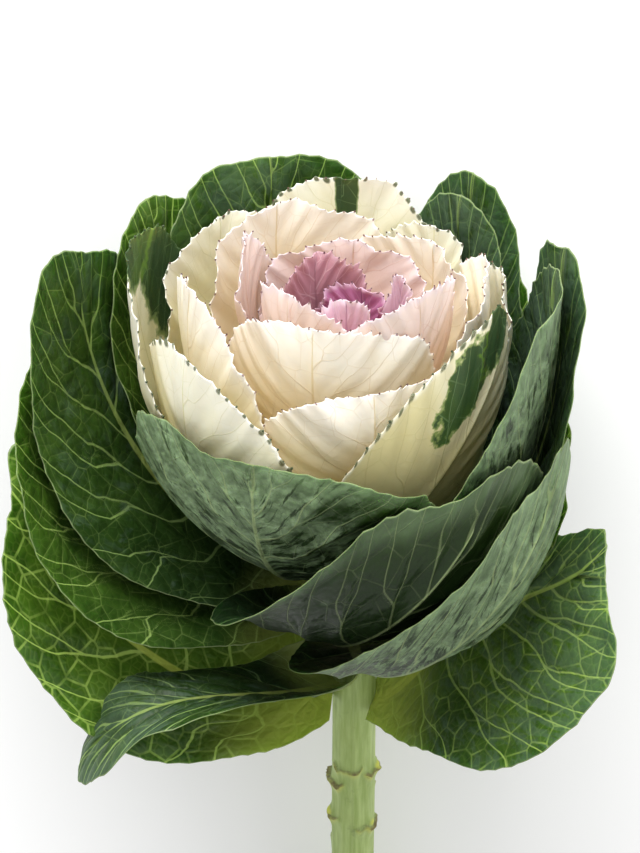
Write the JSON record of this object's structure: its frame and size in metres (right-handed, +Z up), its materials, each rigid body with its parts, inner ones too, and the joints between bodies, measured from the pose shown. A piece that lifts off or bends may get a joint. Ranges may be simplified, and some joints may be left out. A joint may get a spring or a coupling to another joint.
{
  "type": "ornamental cabbage",
  "caption": "Cut ornamental cabbage: a rosette of green outer leaves, variegated and cream inner leaves and a pink and purple heart on a short stem, lying on its side.",
  "frame": {"origin": "middle of the bottom of the bounding box, on the surface the cabbage lies on", "axes": "+Y from the cut end of the stem towards the head, +Z up, +X to the right of the head seen from above with the head away from the viewer"},
  "size_m": [0.1978, 0.368, 0.1474],
  "materials": {
    "stem": "matt, pale green with beige leaf scars",
    "purple_leaf": "satin, paler lilac margin",
    "pink_leaf": "satin, lilac toothed margin",
    "cream_leaf": "satin, toothed margin with small dark tips",
    "variegated_leaf": "satin, cream with green blotches and green margin dots",
    "green_leaf": "satin with a waxy grey-green bloom and pale veins"
  },
  "bodies": {
    "root": {"stem": "stem", "heart_leaf_1": "purple_leaf", "heart_leaf_2": "purple_leaf", "heart_leaf_3": "purple_leaf", "heart_leaf_4": "purple_leaf", "inner_leaf_1": "pink_leaf", "inner_leaf_2": "pink_leaf", "inner_leaf_3": "pink_leaf", "inner_leaf_4": "pink_leaf", "cream_leaf_1": "cream_leaf", "cream_leaf_2": "cream_leaf", "cream_leaf_3": "cream_leaf", "cream_leaf_4": "cream_leaf", "cream_leaf_5": "cream_leaf", "cream_leaf_6": "cream_leaf", "cream_leaf_7": "cream_leaf", "cream_leaf_8": "cream_leaf", "cream_leaf_9": "cream_leaf", "cream_leaf_10": "cream_leaf", "variegated_leaf_1": "variegated_leaf", "variegated_leaf_2": "variegated_leaf", "variegated_leaf_3": "variegated_leaf", "bowl_leaf": "green_leaf", "back_right_leaf": "green_leaf", "back_left_leaf": "green_leaf", "back_left_outer_leaf": "green_leaf", "right_tall_leaf": "green_leaf", "back_right_outer_leaf": "green_leaf", "left_tall_leaf": "green_leaf", "front_sweeping_leaf": "green_leaf", "right_outer_leaf": "green_leaf", "left_outer_leaf": "green_leaf", "right_sweeping_leaf": "green_leaf", "right_low_leaf": "green_leaf", "front_drooping_leaf": "green_leaf", "left_bottom_leaf": "green_leaf", "right_bottom_leaf": "green_leaf", "under_left_leaf": "green_leaf", "under_right_leaf": "green_leaf"}
  },
  "joints": []
}
